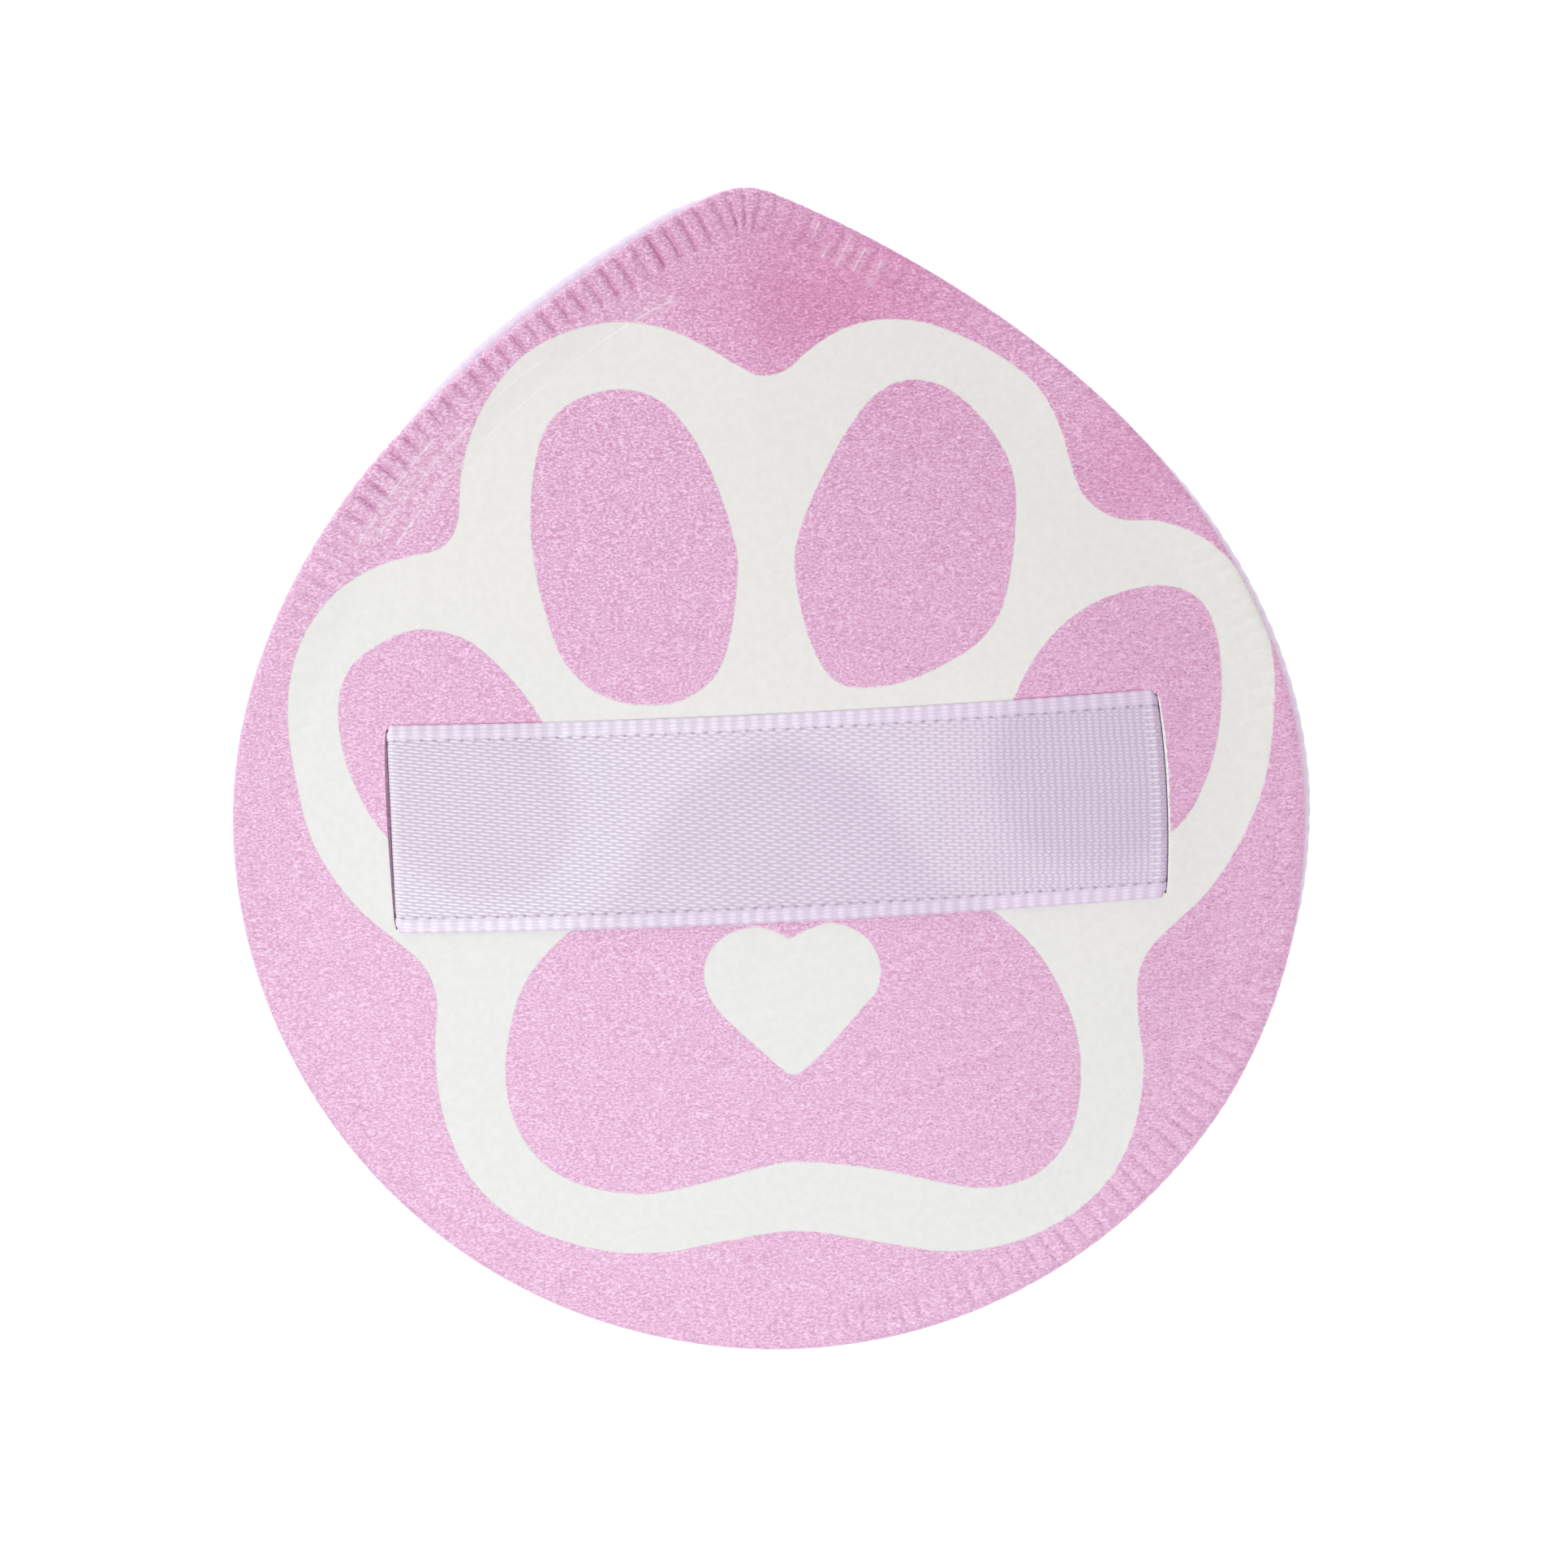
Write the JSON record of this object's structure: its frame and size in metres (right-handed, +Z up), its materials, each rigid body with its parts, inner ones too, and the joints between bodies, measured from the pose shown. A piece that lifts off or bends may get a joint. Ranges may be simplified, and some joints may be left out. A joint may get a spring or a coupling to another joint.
{
  "type": "makeup cushion puff",
  "caption": "Drop-shaped makeup sponge with a printed back, a finger ribbon through slits, a soft foam pad and a smooth applicator face.",
  "frame": {"origin": "middle of the puff's footprint, on the surface that it lies on with its applicator face down", "axes": "+X along the finger ribbon, +Y towards the tip of the drop, +Z up out of the printed back"},
  "size_m": [0.0518, 0.056, 0.0091],
  "materials": {
    "ribbon": "lavender polyester satin ribbon, a little see-through",
    "back": "white fine-grained leatherette with a pearly pink print",
    "face": "smooth matt fine-cell polyurethane skin",
    "thread": "spun polyester overlock thread",
    "foam": "soft open-cell foam"
  },
  "bodies": {
    "root": {"finger_ribbon": "ribbon", "printed_back_cover": "back", "applicator_face": "face", "overlock_thread": "thread", "foam_core": "foam"}
  },
  "joints": []
}
